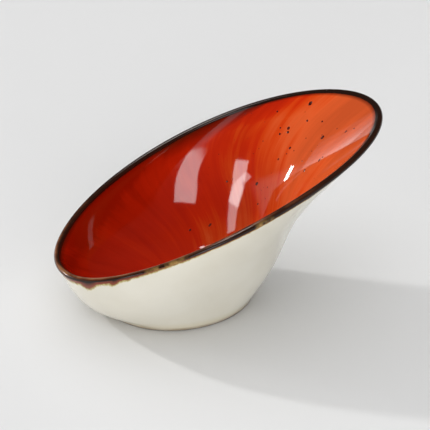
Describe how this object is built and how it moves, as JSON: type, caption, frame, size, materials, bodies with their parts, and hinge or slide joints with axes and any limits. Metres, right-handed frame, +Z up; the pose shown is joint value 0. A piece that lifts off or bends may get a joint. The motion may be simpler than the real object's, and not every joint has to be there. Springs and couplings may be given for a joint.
{
  "type": "slanted sauce bowl",
  "caption": "Small glazed porcelain sauce bowl with a slanted oval mouth, a low rounded end, a high flared end, a brown edged lip and an oval foot ring.",
  "frame": {"origin": "on the table plane, under the middle of the bowl's length and width", "axes": "+X from the low end of the mouth to the high end, +Z up, and the bowl is the same on both sides of the XZ plane"},
  "size_m": [0.1496, 0.0934, 0.0906],
  "materials": {
    "bare_porcelain": "fired and unglazed, fine matt",
    "red_glaze": "glossy, deep red at the low end to orange on the high wall, brushed, with iron specks",
    "iron_glaze": "glossy dark brown that breaks to bronze and gold where it is thin",
    "ivory_glaze": "glossy ivory"
  },
  "bodies": {
    "root": {"porcelain_body": "bare_porcelain", "inner_glaze": "red_glaze", "rim_glaze": "iron_glaze", "outer_glaze": "ivory_glaze", "underside_glaze": "ivory_glaze"}
  },
  "joints": []
}
